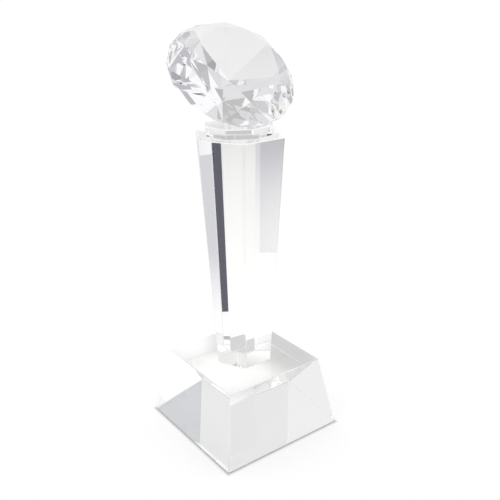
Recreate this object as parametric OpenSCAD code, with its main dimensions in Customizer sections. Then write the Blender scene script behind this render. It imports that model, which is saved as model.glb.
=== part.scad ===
// Crystal award: a faceted diamond that lies tilted on an octagonal collar, on a tall hexagonal
// column that widens upwards, on a square base with sloping sides. The four crystals are clear,
// ground flat and polished, and thin films of clear adhesive bond them to each other.
//
// The origin is on the table top under the centre of the base, +Z is up and -Y is the front.
// Every crystal is made as a polisher makes it: a rough block is ground back to slanted planes.

/* [Base] */
// Width of the square base where it stands
base_w = 80; // [60:1:120]
// Width of the square top face of the base
base_top_w = 64.6; // [50:0.2:110]
// Height of the base
base_h = 43.5; // [25:0.5:70]

/* [Column] */
// Width of the column's foot across two opposite corners
column_foot_w = 35.6; // [24:0.2:50]
// Width of the column's head across two opposite corners
column_head_w = 52.8; // [44:0.2:80]
// Height of the column
column_h = 134.4; // [80:0.2:200]

/* [Collar] */
// Width of the collar's lower face across two opposite corners
collar_foot_w = 37.4; // [30:0.2:44]
// Width of the collar's upper face across two opposite corners
collar_head_w = 39.2; // [32:0.2:50]
// Height of the collar
collar_h = 5.8; // [3:0.2:12]
// Turn of the collar about the column's axis
collar_turn = 11; // [0:1:22]

/* [Diamond] */
// Width of the diamond across two opposite corners of its girdle
diamond_w = 72.2; // [50:0.2:100]
// Height of the flat band around the girdle
girdle_h = 1.2; // [0.8:0.1:3]
// Angle between the upper main facets and the plane of the girdle
upper_angle = 42; // [28:0.5:44]
// Angle between the lower main facets and the plane of the girdle
lower_angle = 32; // [28:0.5:42]
// Width of the table, the large top facet, across two opposite corners
table_w = 43.6; // [24:0.2:48]
// How far the star facets reach from the table's edge towards the girdle, as a part of the way
star_reach = 0.5; // [0.35:0.01:0.65]
// Angle between the lower girdle facets and the plane of the girdle
lower_girdle_angle = 42; // [36:0.5:50]
// Turn of the upper facets about the diamond's own axis, from the seat
upper_turn = 13; // [0:1:45]
// Turn of the girdle and the lower facets about the diamond's own axis, from the seat
lower_turn = 6; // [0:1:45]

/* [Seat] */
// Angle between the plane of the girdle and the flat that the diamond lies on
seat_angle = 42; // [35:0.5:55]
// Depth of the flat inside the circle around the girdle
seat_depth = 0.6; // [0.5:0.1:1.5]
// Direction that the table faces, turned from the front towards the right
diamond_turn = -6; // [-45:1:45]
// Distance from the column's axis forwards to the girdle's lowest point
seat_front = 14; // [8:0.2:16]
// Distance from the column's axis to the right to the girdle's lowest point
seat_right = 2.2; // [-5:0.2:5]

/* [Bonds] */
// Thickness of each film of adhesive
bond_t = 0.1; // [0.05:0.05:0.3]
// Distance that each film stays back from the edge of the smaller face
bond_inset = 0.6; // [0.2:0.1:2]

/* [Edges] */
// Width of the narrow polished bevel along the edges of the base, the column and the collar
bevel = 0.6; // [0.2:0.1:1.2]

/* [Hidden] */

// Number of sides of each cut block
base_sides = 4;
column_sides = 6;
collar_sides = 8;

// Levels, from the table top upwards
base_bond_z = base_h;
column_z = base_bond_z + bond_t;
column_bond_z = column_z + column_h;
collar_z = column_bond_z + bond_t;
collar_bond_z = collar_z + collar_h;
diamond_z = collar_bond_z + bond_t;

// The diamond in its own frame. The middle of the girdle is at height 0 and the table faces up.
main_facets = 8;
girdle_facets = 2 * main_facets;
main_step = 360 / main_facets;
girdle_step = 360 / girdle_facets;
meet = main_step / 2;
girdle_r = diamond_w / 2;
girdle_side = girdle_r * cos(girdle_step / 2);
girdle_top = girdle_h / 2;
table_r = table_w / 2;
table_side = table_r * cos(meet);
table_top = girdle_top + (girdle_r - table_r) * tan(upper_angle);
point_depth = girdle_top + girdle_r * tan(lower_angle);

// The outer tip of a star facet lies where two upper main facets meet
star_r = table_side + star_reach * (girdle_r - table_side);
star_rise = (girdle_r - star_r * cos(meet)) * tan(upper_angle);
star_angle = atan((table_top - girdle_top - star_rise) / (star_r - table_side));
upper_girdle_angle = atan(star_rise / ((girdle_r - star_r) * cos(girdle_step / 2)));

// Height of the girdle's middle above the seat, once the diamond lies on its flat
seat_drop = girdle_r * sin(seat_angle) + girdle_top * cos(seat_angle) - seat_depth;
// Distance from the girdle's middle forwards to its lowest point, once the diamond lies down
seat_reach = girdle_r * cos(seat_angle) - girdle_top * sin(seat_angle);

// Side of a block that is larger than any piece
block = 4 * max(base_w, column_h, diamond_w);

// Everything on the inner side of a plane. The plane faces an azimuth, its normal leans from
// straight up, and it passes through the point at a radius and a height on that azimuth.
module inside(azimuth, lean, radius, height) {
    rotate([0, 0, azimuth])
        translate([radius, 0, height])
            rotate([0, lean, 0])
                translate([-block / 2, -block / 2, -block])
                    cube(block);
}

// A regular polygon with a corner on the X axis
module outline(sides, radius) {
    polygon([for (k = [0 : sides - 1]) radius * [cos(k * 360 / sides), sin(k * 360 / sides)]]);
}

// A block with flat sides that slope from the foot to the head, and bevels along all its edges
module cut_block(sides, foot_w, head_w, height) {
    half = 180 / sides;
    foot_side = foot_w / 2 * cos(half);
    head_side = head_w / 2 * cos(half);
    side_lean = 90 - atan((foot_side - head_side) / height);
    corner_lean = 90 - atan((foot_w - head_w) / 2 / height);
    corner_cut = bevel / 2 * tan(half);
    rim_cut = bevel * cos(45);
    intersection() {
        linear_extrude(height)
            outline(sides, max(foot_w, head_w) / 2);
        intersection_for (k = [0 : sides - 1]) {
            inside(half + k * 360 / sides, side_lean, foot_side, 0);
        }
        intersection_for (k = [0 : sides - 1]) {
            inside(k * 360 / sides, corner_lean, foot_w / 2 - corner_cut, 0);
        }
        intersection_for (k = [0 : sides - 1]) {
            inside(half + k * 360 / sides, 135, foot_side - rim_cut, 0);
        }
        intersection_for (k = [0 : sides - 1]) {
            inside(half + k * 360 / sides, 45, head_side - rim_cut, height);
        }
    }
}

// A film of adhesive on the flat face of a block with bevelled edges
module film(sides, face_w) {
    half = 180 / sides;
    linear_extrude(bond_t)
        outline(sides, face_w / 2 - (bevel * cos(45) + bond_inset) / cos(half));
}

// The upper half of the diamond and its table, endless below
module crown() {
    intersection() {
        inside(0, 0, 0, table_top);
        intersection_for (k = [0 : main_facets - 1]) {
            inside(k * main_step, upper_angle, girdle_r, girdle_top);
        }
        intersection_for (k = [0 : main_facets - 1]) {
            inside(k * main_step + meet, star_angle, table_side, table_top);
        }
        intersection_for (k = [0 : girdle_facets - 1]) {
            inside((k + 0.5) * girdle_step, upper_girdle_angle, girdle_side, girdle_top);
        }
    }
}

// The girdle and the lower half of the diamond down to its point, with a flat top
module pavilion() {
    intersection() {
        translate([0, 0, -point_depth])
            linear_extrude(point_depth + table_top)
                outline(girdle_facets, girdle_r);
        intersection_for (k = [0 : main_facets - 1]) {
            inside(k * main_step, 180 - lower_angle, girdle_r, -girdle_top);
        }
        intersection_for (k = [0 : girdle_facets - 1]) {
            inside((k + 0.5) * girdle_step, 180 - lower_girdle_angle, girdle_side, -girdle_top);
        }
    }
}

// The diamond laid down with its girdle's lowest point towards the front and its flat at height 0
module laid_diamond() {
    intersection() {
        translate([seat_right, -seat_front, 0])
            rotate([0, 0, diamond_turn - 90])
                translate([-seat_reach, 0, seat_drop])
                    rotate([0, seat_angle, 0])
                        intersection() {
                            rotate([0, 0, lower_turn])
                                pavilion();
                            rotate([0, 0, upper_turn])
                                crown();
                        }
        translate([-block / 2, -block / 2, 0])
            cube(block);
    }
}

module base() {
    color([0.93, 0.95, 0.95, 0.6])
        rotate([0, 0, 45])
            cut_block(base_sides, base_w * sqrt(2), base_top_w * sqrt(2), base_h);
}

module base_bond() {
    color([0.97, 0.97, 0.9, 0.6])
        translate([0, 0, base_bond_z])
            film(column_sides, column_foot_w);
}

module column() {
    color([0.94, 0.95, 0.97, 0.6])
        translate([0, 0, column_z])
            cut_block(column_sides, column_foot_w, column_head_w, column_h);
}

module column_bond() {
    color([0.97, 0.97, 0.9, 0.6])
        translate([0, 0, column_bond_z])
            rotate([0, 0, 180 / collar_sides + collar_turn])
                film(collar_sides, collar_foot_w);
}

module collar() {
    color([0.94, 0.96, 0.95, 0.6])
        translate([0, 0, collar_z])
            rotate([0, 0, 180 / collar_sides + collar_turn])
                cut_block(collar_sides, collar_foot_w, collar_head_w, collar_h);
}

// The film follows the diamond's seat as far as the collar's upper face reaches
module collar_bond() {
    color([0.97, 0.97, 0.9, 0.6])
        intersection() {
            translate([0, 0, collar_bond_z])
                rotate([0, 0, 180 / collar_sides + collar_turn])
                    film(collar_sides, collar_head_w);
            translate([0, 0, diamond_z - bond_t])
                laid_diamond();
        }
}

module diamond() {
    color([0.95, 0.95, 0.98, 0.6])
        translate([0, 0, diamond_z])
            laid_diamond();
}

base();
base_bond();
column();
column_bond();
collar();
collar_bond();
diamond();
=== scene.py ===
# %% [markdown]
# A crystal award, looked at through its own glass
#
# The award is four blocks of clear optical crystal: a square base with sloping sides, a tall
# six-sided column that widens upwards, a thin eight-sided collar, and a faceted diamond that lies
# tilted on it. Three thin films of clear adhesive hold them together. The sizes come from the
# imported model, and this script makes the finish: the polished glass, the bonded faces, the rims of
# adhesive, and a white studio with a few grey flags that the facets can pick up.

import math

import bmesh
import bpy
import numpy as np
from mathutils import Matrix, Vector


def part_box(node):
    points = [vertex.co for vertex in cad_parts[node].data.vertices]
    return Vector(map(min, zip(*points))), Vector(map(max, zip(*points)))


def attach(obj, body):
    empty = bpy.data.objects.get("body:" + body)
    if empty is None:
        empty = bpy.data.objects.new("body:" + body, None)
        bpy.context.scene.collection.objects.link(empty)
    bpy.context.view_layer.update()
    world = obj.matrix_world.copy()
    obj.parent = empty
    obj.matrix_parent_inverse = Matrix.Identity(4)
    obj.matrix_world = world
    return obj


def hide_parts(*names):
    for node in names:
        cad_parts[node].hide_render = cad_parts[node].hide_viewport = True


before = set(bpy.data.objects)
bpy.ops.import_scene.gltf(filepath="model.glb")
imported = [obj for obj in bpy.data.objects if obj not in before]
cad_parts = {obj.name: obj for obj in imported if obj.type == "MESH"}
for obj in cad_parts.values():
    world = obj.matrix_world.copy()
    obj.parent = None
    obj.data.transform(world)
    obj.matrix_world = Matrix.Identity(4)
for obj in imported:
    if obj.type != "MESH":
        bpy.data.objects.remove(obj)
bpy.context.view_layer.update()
MM = 0.001

# %% [markdown]
# The films of adhesive
#
# Clear adhesive is dropped on one face and the next crystal is lowered on to it. It runs out to a
# thin film whose corners are never sharp, and it stops in a rim that bulges a little. The film
# could be a plain slab, but the rim is what catches the light, so it is made as a half-round
# profile that is carried along a polygon with rounded corners. The corners of the polygon are the
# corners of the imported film.

# %% A rounded outline round a film
ARC_STEPS = 5
RIM_STEPS = 6
CORNER_ROUND = 0.9 * MM
HAIR = 0.003 * MM


def film_corners(node):
    """The corners of the film's lower face, in order round its middle, as an array of (x, y)."""
    low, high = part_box(node)
    points = np.array([v.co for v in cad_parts[node].data.vertices])
    points = points[points[:, 2] < (low.z + high.z) / 2, :2]
    points = np.unique(np.round(points, 7), axis=0)
    middle = points.mean(0)
    turn = np.arctan2(points[:, 1] - middle[1], points[:, 0] - middle[0])
    return points[np.argsort(turn)]


def rounded(corners, radius):
    """Arc centres and outward directions for a convex polygon whose corners are rounded.

    Each side has an outward normal. A corner's arc centre is the corner moved inwards along the sum
    of its two normals, divided by one plus their dot product, times the radius. The directions of
    the arc turn from the first normal to the second in equal steps of angle.
    """
    side = np.roll(corners, -1, 0) - corners
    normal = np.stack([side[:, 1], -side[:, 0]], 1)
    normal /= np.linalg.norm(normal, axis=1, keepdims=True)
    before = np.roll(normal, 1, 0)
    share = (before * normal).sum(1, keepdims=True)
    centre = corners - radius * (before + normal) / (1 + share)
    start = np.arctan2(before[:, 1], before[:, 0])
    sweep = np.arccos(np.clip(share[:, 0], -1, 1))
    angle = start[:, None] + sweep[:, None] * np.linspace(0, 1, ARC_STEPS)
    direction = np.stack([np.cos(angle), np.sin(angle)], -1)
    centre = np.repeat(centre[:, None], ARC_STEPS, 1)
    return centre.reshape(-1, 2), direction.reshape(-1, 2)


# %% A film as a rim and two flat faces
film_edges = {}


def film_piece(node, bulge):
    """A film: the rim's profile is a half turn t from the lower face to the upper one.

    A point of the rim lies at the arc's centre plus (corner radius + bulge * sin t) along the
    outward direction, at a height that rises with (1 - cos t) / 2 of the film's thickness.
    """
    low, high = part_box(node)
    corners = film_corners(node)
    reach = np.linalg.norm(corners - corners.mean(0), axis=1).min()
    radius = min(CORNER_ROUND, 0.25 * reach)
    centre, direction = rounded(corners, radius + bulge)
    t = np.linspace(0, math.pi, RIM_STEPS)[:, None, None]
    flat = centre + (radius + bulge * np.sin(t)) * direction
    rise = (high.z - low.z - 2 * HAIR) * (1 - np.cos(t)) / 2
    height = np.broadcast_to(low.z + HAIR + rise, flat.shape[:2] + (1,))
    rim = np.concatenate([flat, height], -1)
    around = rim.shape[1]
    film_edges[node] = rim[0, :, :2]
    lower = np.arange(around) + np.arange(RIM_STEPS - 1)[:, None] * around
    ahead = (np.arange(around) + 1) % around + np.arange(RIM_STEPS - 1)[:, None] * around
    walls = np.stack([lower, ahead, ahead + around, lower + around], -1).reshape(-1, 4)
    bottom = list(range(around))[::-1]
    top = [i + (RIM_STEPS - 1) * around for i in range(around)]
    mesh = bpy.data.meshes.new(node + "_film")
    mesh.from_pydata(rim.reshape(-1, 3).tolist(), [], walls.tolist() + [bottom, top])
    mesh.polygons.foreach_set("material_index", [0] * len(walls) + [1, 1])
    piece = bpy.data.objects.new(node + "_film", mesh)
    bpy.context.scene.collection.objects.link(piece)
    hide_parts(node)
    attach(piece, "root")
    print(node, "corners:", len(corners), "faces:", len(mesh.polygons))
    return piece


FILMS = ["base_bond", "column_bond", "collar_bond"]
film_pieces = {n: film_piece(n, 0.25 * MM) for n in FILMS}

# %% [markdown]
# The crystals
#
# Each crystal is ground flat, facet by facet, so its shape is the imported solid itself. Where two
# crystals are bonded, the adhesive has nearly the same index as the glass, and light passes as if
# the glass went on. If both faces stayed as glass in air, the joint would turn into a mirror. So a
# copy of each packed crystal gets the outline of the film printed into its flat face, and the face
# inside that outline has a finish of its own, which light passes straight through.

# %% Copy a crystal and merge its facets
FLAT_ENOUGH = math.radians(0.05)
SAME_POINT = 0.002 * MM


def facets_of(node):
    """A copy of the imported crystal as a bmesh, with its triangles merged into whole facets."""
    bm = bmesh.new()
    bm.from_mesh(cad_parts[node].data)
    bmesh.ops.remove_doubles(bm, verts=bm.verts, dist=SAME_POINT)
    bmesh.ops.dissolve_limit(
        bm, angle_limit=FLAT_ENOUGH, verts=bm.verts, edges=bm.edges, use_dissolve_boundaries=False
    )
    return bm


# %% Print a film's outline into a flat face
def print_bond(bm, film, side):
    """Replaces the flat face that meets the film with a ring and the bonded face inside it."""
    low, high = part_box(film)
    level = low.z if side > 0 else high.z
    near = [f for f in bm.faces if f.normal.z * side > 0.999]
    face = min(near, key=lambda f: abs(f.calc_center_median().z - level))
    rim_edges = list(face.edges)
    z = face.calc_center_median().z
    bm.faces.remove(face)
    loop = [bm.verts.new((x, y, z)) for x, y in film_edges[film]]
    bonded = bm.faces.new(loop if side > 0 else loop[::-1])
    bonded.material_index = 1
    filled = bmesh.ops.triangle_fill(
        bm, use_beauty=True, use_dissolve=False, edges=rim_edges + list(bonded.edges)
    )
    for f in filled["geom"]:
        if isinstance(f, bmesh.types.BMFace):
            f.normal_update()
            if f.normal.z * side < 0:
                f.normal_flip()
    return bonded.calc_area()


# %% Build the crystal pieces
WIDEST_BEVEL = 0.9 * MM


def crystal_piece(node, bonds):
    """A crystal with its bonded faces. The 'bevel' attribute is 1 on narrow bevels, 0 elsewhere."""
    bm = facets_of(node)
    areas = [print_bond(bm, film, side) for film, side in bonds]
    bmesh.ops.recalc_face_normals(bm, faces=bm.faces)
    narrow = [
        2 * f.calc_area() / f.calc_perimeter() < WIDEST_BEVEL and f.material_index == 0 and
        abs(f.normal.z) < 0.99 for f in bm.faces
    ]
    mesh = bpy.data.meshes.new(node + "_crystal")
    bm.to_mesh(mesh)
    bm.free()
    mark = mesh.attributes.new("bevel", "FLOAT", "FACE")
    mark.data.foreach_set("value", np.array(narrow, np.float32))
    piece = bpy.data.objects.new(node + "_crystal", mesh)
    bpy.context.scene.collection.objects.link(piece)
    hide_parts(node)
    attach(piece, "root")
    print(node, "faces:", len(mesh.polygons), "bevels:", sum(narrow), "bonded, mm2:",
          [round(a / MM**2) for a in areas])
    return piece


crystal_pieces = {
    "base": crystal_piece("base", [("base_bond", 1)]),
    "column": crystal_piece("column", [("base_bond", -1), ("column_bond", 1)]),
    "collar": crystal_piece("collar", [("column_bond", -1), ("collar_bond", 1)]),
    "diamond": crystal_piece("diamond", [("collar_bond", -1)]),
}

# %% [markdown]
# A node group for polish
#
# Crystal is lapped on a turning wheel and then polished. What is left is a surface that is smooth
# but not perfect: a haze that is barely there, and a few faint wipe marks. The narrow bevels are
# made duller here, so that they read as fine lines. All the finishes share one group, with its own
# amounts in each.


# %% Small helpers for nodes
def node_in(tree, kind, **values):
    """A new node of that kind. The values go to its properties, or to the sockets of that name."""
    made = tree.nodes.new(kind)
    for key, value in values.items():
        name = key.replace("_", " ")
        if hasattr(made, key):
            setattr(made, key, value)
        else:
            made.inputs[name].default_value = value
    return made


def math_in(tree, operation, *values):
    """A Math node. A value is a number or another node's output socket."""
    made = node_in(tree, "ShaderNodeMath", operation=operation)
    for place, value in zip(made.inputs, values):
        if isinstance(value, (int, float)):
            place.default_value = value
        else:
            tree.links.new(value, place)
    return made.outputs[0]


# %% The polish group
WIPE_SCALE = 400.0
WIPE_STRETCH = (1.0, 1.0, 0.2)
WIPE_TURN = (0.4, 0.3, 0.0)
polish = bpy.data.node_groups.new("polish", "ShaderNodeTree")
for socket, start in (("Haze", 0.0), ("Bevel haze", 0.1), ("Wipe marks", 0.0), ("Mark size", 60.0)):
    made = polish.interface.new_socket(socket, in_out="INPUT", socket_type="NodeSocketFloat")
    made.default_value = start
for socket in ("Roughness", "Height", "Bevel"):
    polish.interface.new_socket(socket, in_out="OUTPUT", socket_type="NodeSocketFloat")
given = node_in(polish, "NodeGroupInput")
result = node_in(polish, "NodeGroupOutput")
place = node_in(polish, "ShaderNodeTexCoord").outputs["Object"]
smear = node_in(polish, "ShaderNodeTexNoise", Detail=3.0, Roughness=0.6)
polish.links.new(given.outputs["Mark size"], smear.inputs["Scale"])
polish.links.new(place, smear.inputs["Vector"])
stretch = node_in(polish, "ShaderNodeMapping")
stretch.inputs["Scale"].default_value = WIPE_STRETCH
stretch.inputs["Rotation"].default_value = WIPE_TURN
polish.links.new(place, stretch.inputs["Vector"])
wipe = node_in(polish, "ShaderNodeTexNoise", Scale=WIPE_SCALE, Detail=2.0)
polish.links.new(stretch.outputs[0], wipe.inputs["Vector"])
patchy = math_in(polish, "POWER", smear.outputs[0], 3.0)
edge = node_in(polish, "ShaderNodeAttribute", attribute_name="bevel").outputs["Fac"]
polish.links.new(edge, result.inputs["Bevel"])
haze = math_in(polish, "MULTIPLY", patchy, given.outputs["Haze"])
haze = math_in(polish, "MULTIPLY_ADD", edge, given.outputs["Bevel haze"], haze)
polish.links.new(haze, result.inputs["Roughness"])
marks = math_in(polish, "MULTIPLY", wipe.outputs[0], patchy)
marks = math_in(polish, "MULTIPLY", marks, given.outputs["Wipe marks"])
polish.links.new(marks, result.inputs["Height"])
print("polish group:", len(polish.nodes), "nodes")

# %% [markdown]
# Clear crystal, bonded faces and adhesive
#
# The crystal is the clear kind that trophies are cut from, with an index near 1.52 and hardly any
# colour. The bonded face has an index of 1, so that nothing bends there: the light has not left the
# glass. The adhesive has the faint warm green of a film that has cured under a lamp.


# %% The finishes
BEVEL_TINT = (0.95, 0.95, 0.95, 1)
RELIEF = 0.000002


def finish(name, tint, index, haze, bevel_haze, wipe_marks):
    """A clear finish whose roughness and fine relief come from the polish group."""
    made = bpy.data.materials.new(name)
    made.use_nodes = True
    tree = made.node_tree
    shader = tree.nodes["Principled BSDF"]
    shader.inputs["IOR"].default_value = index
    shader.inputs["Transmission Weight"].default_value = 1
    group = node_in(tree, "ShaderNodeGroup", node_tree=polish)
    group.inputs["Haze"].default_value = haze
    group.inputs["Bevel haze"].default_value = bevel_haze
    group.inputs["Wipe marks"].default_value = wipe_marks
    tone = node_in(tree, "ShaderNodeMix", data_type="RGBA")
    tree.links.new(group.outputs["Bevel"], tone.inputs["Factor"])
    tone.inputs["A"].default_value = (*tint, 1)
    tone.inputs["B"].default_value = BEVEL_TINT
    tree.links.new(tone.outputs["Result"], shader.inputs["Base Color"])
    bump = node_in(tree, "ShaderNodeBump", Strength=0.1, Distance=RELIEF)
    tree.links.new(group.outputs["Roughness"], shader.inputs["Roughness"])
    tree.links.new(group.outputs["Height"], bump.inputs["Height"])
    tree.links.new(bump.outputs[0], shader.inputs["Normal"])
    return made


def bonded_face():
    """Where adhesive joins two crystals, light goes straight on."""
    made = bpy.data.materials.new("bonded_face")
    made.use_nodes = True
    shader = made.node_tree.nodes["Principled BSDF"]
    shader.inputs["Base Color"].default_value = (1, 1, 1, 1)
    shader.inputs["Roughness"].default_value = 0
    shader.inputs["IOR"].default_value = 1
    shader.inputs["Transmission Weight"].default_value = 1
    return made


bonded = bonded_face()
CRYSTAL_INDEX = 1.517
ADHESIVE_INDEX = 1.5
block_finish = finish("polished_block", (0.995, 0.999, 0.996), CRYSTAL_INDEX, 0.01, 0.35, 0.3)
gem_finish = finish("polished_facets", (0.88, 0.88, 0.892), CRYSTAL_INDEX, 0.004, 0.0, 0.1)
rim_finish = finish("cured_adhesive", (0.93, 0.96, 0.86), ADHESIVE_INDEX, 0.25, 0.0, 1.0)
for name, piece in crystal_pieces.items():
    piece.data.materials.append(gem_finish if name == "diamond" else block_finish)
    piece.data.materials.append(bonded)
for piece in film_pieces.values():
    piece.data.materials.append(rim_finish)
    piece.data.materials.append(bonded)

# %% [markdown]
# The table
#
# A white table top, a hair below the base: a block that stands on a table has air under it, and
# that film of air is what makes the underside of a crystal bright. Seen straight, the table is lit
# to plain white. Seen through a crystal it is not so even, because the crystal looks far over it:
# the light lies on it as a long runner, which fades with distance and to both sides, there is a
# bright pool under the base, and the table ends where the dark side of the room begins. Light that
# bounces off a table is noisy when it is seen through so much glass. So the colour has two sides,
# chosen by the kind of ray, and the uneven one is worked out from the place and glows by itself.

# %% The light on the table, as the crystals see it
TABLE_REACH = 3.0
TABLE_END = -0.62
AIR_GAP = 0.05 * MM
RUNNER_TURN = math.radians(-54)
RUNNER_LIGHT = (1.1, 0.26)
LEFT_SIDE, RIGHT_SIDE = (0.18, 0.75), (0.1, 0.6)
LEFT_LOSS, RIGHT_LOSS = 0.24, 0.40
UNDER_BASE = (0.05, 0.08)
POOL_CENTRE = (0, 0.015, 0)
POOL_FADE = (0.012, 0.038)
POOL_LIGHT = (1.05, 0.84)
POOL_TURN = math.radians(-26)
POOL_EDGE = (0.010, 0.032)
BASE_SHADE = 0.74
LEAST_LIGHT = 0.55


def range_in(tree, value, source, target, kind="LINEAR"):
    """A Map Range node: the value's source range is carried over to the target range."""
    made = node_in(tree, "ShaderNodeMapRange", interpolation_type=kind)
    tree.links.new(value, made.inputs["Value"])
    for socket, number in zip(made.inputs[1:5], (*source, *target)):
        socket.default_value = number
    return made.outputs[0]


def turned_axes(tree, place, turn):
    """The place's coordinates, seen from axes that are turned about the vertical."""
    turned = node_in(tree, "ShaderNodeMapping")
    turned.inputs["Rotation"].default_value = (0, 0, turn)
    tree.links.new(place, turned.inputs["Vector"])
    axes = node_in(tree, "ShaderNodeSeparateXYZ")
    tree.links.new(turned.outputs[0], axes.inputs[0])
    return axes


def uneven_light(tree):
    """Brightness by place: start minus slope times the distance along the runner, minus a smooth
    step in the distance to either side of its middle line. Under the base there is a bright pool
    instead, which fades with the distance from its middle and in a step towards the shaded side.
    Gives the light and the share of side."""
    place = node_in(tree, "ShaderNodeTexCoord").outputs["Object"]
    axes = turned_axes(tree, place, RUNNER_TURN)
    start, slope = RUNNER_LIGHT
    along = math_in(tree, "MAXIMUM", axes.outputs["X"], 0.0)
    light = math_in(tree, "MULTIPLY_ADD", along, -slope, start)
    left = range_in(tree, axes.outputs["Y"], LEFT_SIDE, (0, 1), "SMOOTHSTEP")
    away = math_in(tree, "MULTIPLY", axes.outputs["Y"], -1.0)
    right = range_in(tree, away, RIGHT_SIDE, (0, 1), "SMOOTHSTEP")
    light = math_in(tree, "MULTIPLY_ADD", left, -LEFT_LOSS, light)
    light = math_in(tree, "MULTIPLY_ADD", right, -RIGHT_LOSS, light)
    light = math_in(tree, "MAXIMUM", light, LEAST_LIGHT)
    from_pool = node_in(tree, "ShaderNodeVectorMath", operation="DISTANCE")
    tree.links.new(place, from_pool.inputs[0])
    from_pool.inputs[1].default_value = POOL_CENTRE
    far = from_pool.outputs["Value"]
    across = turned_axes(tree, place, POOL_TURN).outputs["X"]
    pool = math_in(
        tree, "MULTIPLY", range_in(tree, far, POOL_FADE, POOL_LIGHT, "SMOOTHSTEP"),
        range_in(tree, across, POOL_EDGE, (1, BASE_SHADE), "SMOOTHSTEP"),
    )
    under = range_in(tree, far, UNDER_BASE, (1, 0), "SMOOTHSTEP")
    loss = math_in(tree, "MULTIPLY", math_in(tree, "SUBTRACT", pool, light), under)
    return math_in(tree, "ADD", light, loss), math_in(tree, "MAXIMUM", left, right)


def crystal_ray(tree):
    """1 for light that comes by way of a crystal, and 0 for light that comes straight."""
    path = node_in(tree, "ShaderNodeLightPath")
    through, mirrored = path.outputs["Is Transmission Ray"], path.outputs["Is Glossy Ray"]
    return math_in(tree, "MAXIMUM", through, mirrored)


# %% A white table
corner = np.array([
    [TABLE_END, -TABLE_REACH, -AIR_GAP], [TABLE_REACH, -TABLE_REACH, -AIR_GAP],
    [TABLE_REACH, TABLE_REACH, -AIR_GAP], [TABLE_END, TABLE_REACH, -AIR_GAP],
])
table_mesh = bpy.data.meshes.new("table_top")
table_mesh.from_pydata(corner.tolist(), [], [[0, 1, 2, 3]])
table = bpy.data.objects.new("table_top", table_mesh)
bpy.context.scene.collection.objects.link(table)
print("table top, m:", [round(v, 2) for v in np.ptp(corner, axis=0)[:2]])

# %% The line of shadow along the base
SHADOW_WIDTH = 2.4 * MM
PLAIN_WHITE = (0.96, 0.96, 0.96, 1)
SHADOW_GREY = (0.42, 0.42, 0.43, 1)


def edge_shadow(tree):
    """Plain white, with a thin line of shadow where the base's lower bevel keeps the light off.

    The distance from the base is the larger of |x| and |y| less half the base's width, and the
    shadow fades over a few millimetres of it.
    """
    low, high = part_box("base")
    axes = node_in(tree, "ShaderNodeSeparateXYZ")
    tree.links.new(node_in(tree, "ShaderNodeTexCoord").outputs["Object"], axes.inputs[0])
    away = math_in(
        tree, "MAXIMUM",
        math_in(tree, "ABSOLUTE", axes.outputs["X"]), math_in(tree, "ABSOLUTE", axes.outputs["Y"]),
    )
    fade = range_in(tree, away, (high.x - 0.5 * MM, high.x + SHADOW_WIDTH), (0, 1), "SMOOTHSTEP")
    mix = node_in(tree, "ShaderNodeMix", data_type="RGBA")
    tree.links.new(fade, mix.inputs["Factor"])
    mix.inputs["A"].default_value = SHADOW_GREY
    mix.inputs["B"].default_value = PLAIN_WHITE
    return mix.outputs["Result"]


# %% The table's finish
BLACK = (0, 0, 0, 1)
RUNNER_WHITE = (1.0, 1.0, 0.99, 1)
COOL_SHADE = (0.975, 0.975, 1.02, 1)
paper = bpy.data.materials.new("white_table")
paper.use_nodes = True
paper_tree = paper.node_tree
paper_shader = paper_tree.nodes["Principled BSDF"]
paper_shader.inputs["Roughness"].default_value = 0.9
paper_shader.inputs["Specular IOR Level"].default_value = 0
paper_shader.inputs["Emission Strength"].default_value = 1
light, side = uneven_light(paper_tree)
shaded = node_in(paper_tree, "ShaderNodeMix", data_type="RGBA")
shaded.inputs["A"].default_value = RUNNER_WHITE
shaded.inputs["B"].default_value = COOL_SHADE
paper_tree.links.new(side, shaded.inputs["Factor"])
lit = node_in(paper_tree, "ShaderNodeVectorMath", operation="SCALE")
paper_tree.links.new(shaded.outputs["Result"], lit.inputs[0])
paper_tree.links.new(light, lit.inputs["Scale"])
by_crystal = crystal_ray(paper_tree)
for socket, straight_on, by_way in (
    ("Base Color", edge_shadow(paper_tree), BLACK), ("Emission Color", BLACK, lit.outputs[0])
):
    told = node_in(paper_tree, "ShaderNodeMix", data_type="RGBA")
    paper_tree.links.new(by_crystal, told.inputs["Factor"])
    for place, colour in ((told.inputs["A"], straight_on), (told.inputs["B"], by_way)):
        if isinstance(colour, tuple):
            place.default_value = colour
        else:
            paper_tree.links.new(colour, place)
    paper_tree.links.new(told.outputs["Result"], paper_shader.inputs[socket])
table_mesh.materials.append(paper)
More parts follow.
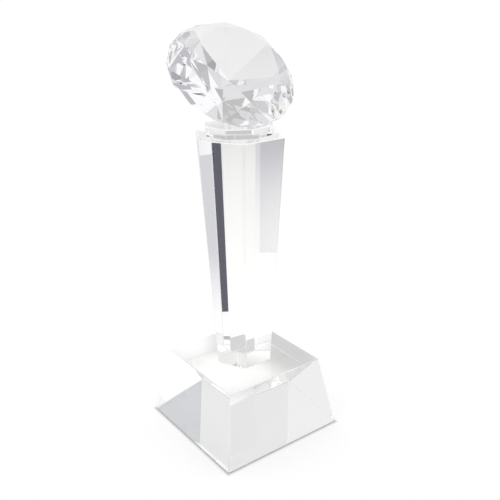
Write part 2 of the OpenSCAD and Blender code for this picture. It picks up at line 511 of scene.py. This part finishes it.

# %% [markdown]
# The studio
#
# Clear crystal has almost no colour of its own. What is seen in it is the room: a white tent all
# round, with grey and dark flags that draw the edges. The room could be built from cards, but the
# world's own colour by direction is simpler and has no noise. Each flag is a soft-edged patch with
# a direction, a size and a colour, placed until the facets have the right greys. Straight
# into the camera the world stays white.


# %% A soft-edged flag as a node group
def flag_group():
    """Colour over a patch of the sky.

    With a as the angle between the direction's azimuth and the flag's, and e between the
    elevations, the mask is 1 while both stay inside the half sizes and falls to 0 over the
    softness. The colour is mixed from the one behind to the flag's by that mask.
    """
    group = bpy.data.node_groups.new("flag", "ShaderNodeTree")
    for socket in ("Azimuth", "Elevation", "Half width", "Half height", "Softness"):
        group.interface.new_socket(socket, in_out="INPUT", socket_type="NodeSocketFloat")
    for socket in ("Behind", "Flag"):
        group.interface.new_socket(socket, in_out="INPUT", socket_type="NodeSocketColor")
    group.interface.new_socket("Colour", in_out="OUTPUT", socket_type="NodeSocketColor")
    given = node_in(group, "NodeGroupInput")
    result = node_in(group, "NodeGroupOutput")
    way = node_in(group, "ShaderNodeTexCoord").outputs["Generated"]
    axes = node_in(group, "ShaderNodeSeparateXYZ")
    group.links.new(way, axes.inputs[0])
    azimuth = math_in(group, "ARCTAN2", axes.outputs["Y"], axes.outputs["X"])
    elevation = math_in(group, "ARCSINE", axes.outputs["Z"])
    masks = []
    for angle, middle, half in (
        (azimuth, "Azimuth", "Half width"), (elevation, "Elevation", "Half height")
    ):
        off = math_in(group, "SUBTRACT", angle, given.outputs[middle])
        off = math_in(group, "ABSOLUTE", math_in(group, "WRAP", off, math.pi, -math.pi))
        inside = math_in(group, "SUBTRACT", given.outputs[half], off)
        inside = math_in(group, "DIVIDE", inside, given.outputs["Softness"])
        step = node_in(group, "ShaderNodeMath", operation="ADD", use_clamp=True)
        group.links.new(inside, step.inputs[0])
        step.inputs[1].default_value = 0.5
        masks.append(step.outputs[0])
    mix = node_in(group, "ShaderNodeMix", data_type="RGBA")
    group.links.new(math_in(group, "MULTIPLY", *masks), mix.inputs["Factor"])
    group.links.new(given.outputs["Behind"], mix.inputs["A"])
    group.links.new(given.outputs["Flag"], mix.inputs["B"])
    group.links.new(mix.outputs["Result"], result.inputs["Colour"])
    return group


# %% The flags
# Azimuth and elevation of the middle, half width and half height, softness (degrees), and colour
FLAGS = {
    "back_wall": (75, 22, 85, 45, 25, (0.84, 0.84, 0.85)),
    "ceiling": (0, 85, 200, 22, 12, (0.68, 0.68, 0.69)),
    "lamp_hood": (0, 90, 200, 13, 6, (0.56, 0.56, 0.55)),
    "back_panel": (49, 36, 24, 12, 6, (0.78, 0.78, 0.79)),
    "front_wall": (-74, 15, 15, 24, 8, (0.55, 0.56, 0.59)),
    "front_stand": (-24, 6, 7, 6, 3, (0.40, 0.40, 0.41)),
    "back_card": (104, 30, 5, 30, 4, (0.42, 0.42, 0.43)),
    "front_ground": (-135, -25, 30, 22, 10, (0.74, 0.74, 0.78)),
    "wooden_shelf": (-149, 31, 8, 8, 5, (0.50, 0.30, 0.18)),
    "dark_side": (181, -14, 25, 29, 8, (0.05, 0.05, 0.08)),
}
TENT = (1.1, 1.1, 1.1, 1)
OPEN_TENT = (1.08, 1.08, 1.08, 1)
world = bpy.data.worlds.new("studio")
bpy.context.scene.world = world
world.use_nodes = True
sky = world.node_tree
background = sky.nodes["Background"]
flag = flag_group()
behind = node_in(sky, "ShaderNodeRGB")
behind.outputs[0].default_value = TENT
shade = behind.outputs[0]
for name, (azimuth, elevation, width, height, soft, colour) in FLAGS.items():
    card = node_in(sky, "ShaderNodeGroup", node_tree=flag, label=name)
    for socket, angle in zip(card.inputs, (azimuth, elevation, width, height, soft)):
        socket.default_value = math.radians(angle)
    card.inputs["Flag"].default_value = (*colour, 1)
    sky.links.new(shade, card.inputs["Behind"])
    shade = card.outputs[0]
seen = node_in(sky, "ShaderNodeMix", data_type="RGBA")
sky.links.new(crystal_ray(sky), seen.inputs["Factor"])
seen.inputs["A"].default_value = OPEN_TENT
sky.links.new(shade, seen.inputs["B"])
sky.links.new(seen.outputs["Result"], background.inputs["Color"])

# %% [markdown]
# The camera
#
# It stands in front of the award, to the left of it, and looks down by a little over 20 degrees.
# An aimed camera would need a target object, so its three axes are worked out from yaw, pitch and
# roll instead: the way ahead, the level direction to the right, and the one that is square to both.

# %% Place the camera
CAMERA_PLACE = np.array([-214.8, -298.7, 254.5]) * MM
CAMERA_YAW, CAMERA_PITCH, CAMERA_ROLL = np.radians([53.48, -21.3, -0.75])
ahead = np.array([
    math.cos(CAMERA_PITCH) * math.cos(CAMERA_YAW),
    math.cos(CAMERA_PITCH) * math.sin(CAMERA_YAW),
    math.sin(CAMERA_PITCH),
])
level = np.array([math.sin(CAMERA_YAW), -math.cos(CAMERA_YAW), 0])
upright = np.cross(level, ahead)
right = level * math.cos(CAMERA_ROLL) + upright * math.sin(CAMERA_ROLL)
up = upright * math.cos(CAMERA_ROLL) - level * math.sin(CAMERA_ROLL)
camera = bpy.data.objects.new("camera", bpy.data.cameras.new("camera"))
bpy.context.scene.collection.objects.link(camera)
turned = np.eye(4)
turned[:3, :4] = np.stack([right, up, -ahead, CAMERA_PLACE], 1)
camera.matrix_world = Matrix(turned.tolist())
camera.data.sensor_width = 36
camera.data.lens = 49.76
camera.data.clip_start = 0.01
bpy.context.scene.camera = camera

# %% [markdown]
# Light paths
#
# Light turns many times inside a faceted crystal, and a path that is cut short ends black. So the
# number of bounces is high. Glossy filtering would dull the bright top of the base, so it is off.
# The denoiser isn't given the normals, because with them it leaves a dotted pattern on flat faces.

# %% Light paths
BOUNCES = 28
scene = bpy.context.scene
scene.view_settings.view_transform = "Standard"
scene.cycles.max_bounces = BOUNCES
scene.cycles.transmission_bounces = BOUNCES
scene.cycles.glossy_bounces = BOUNCES
scene.cycles.blur_glossy = 0
scene.cycles.use_adaptive_sampling = False
scene.cycles.use_denoising = True
scene.cycles.denoising_input_passes = "RGB_ALBEDO"
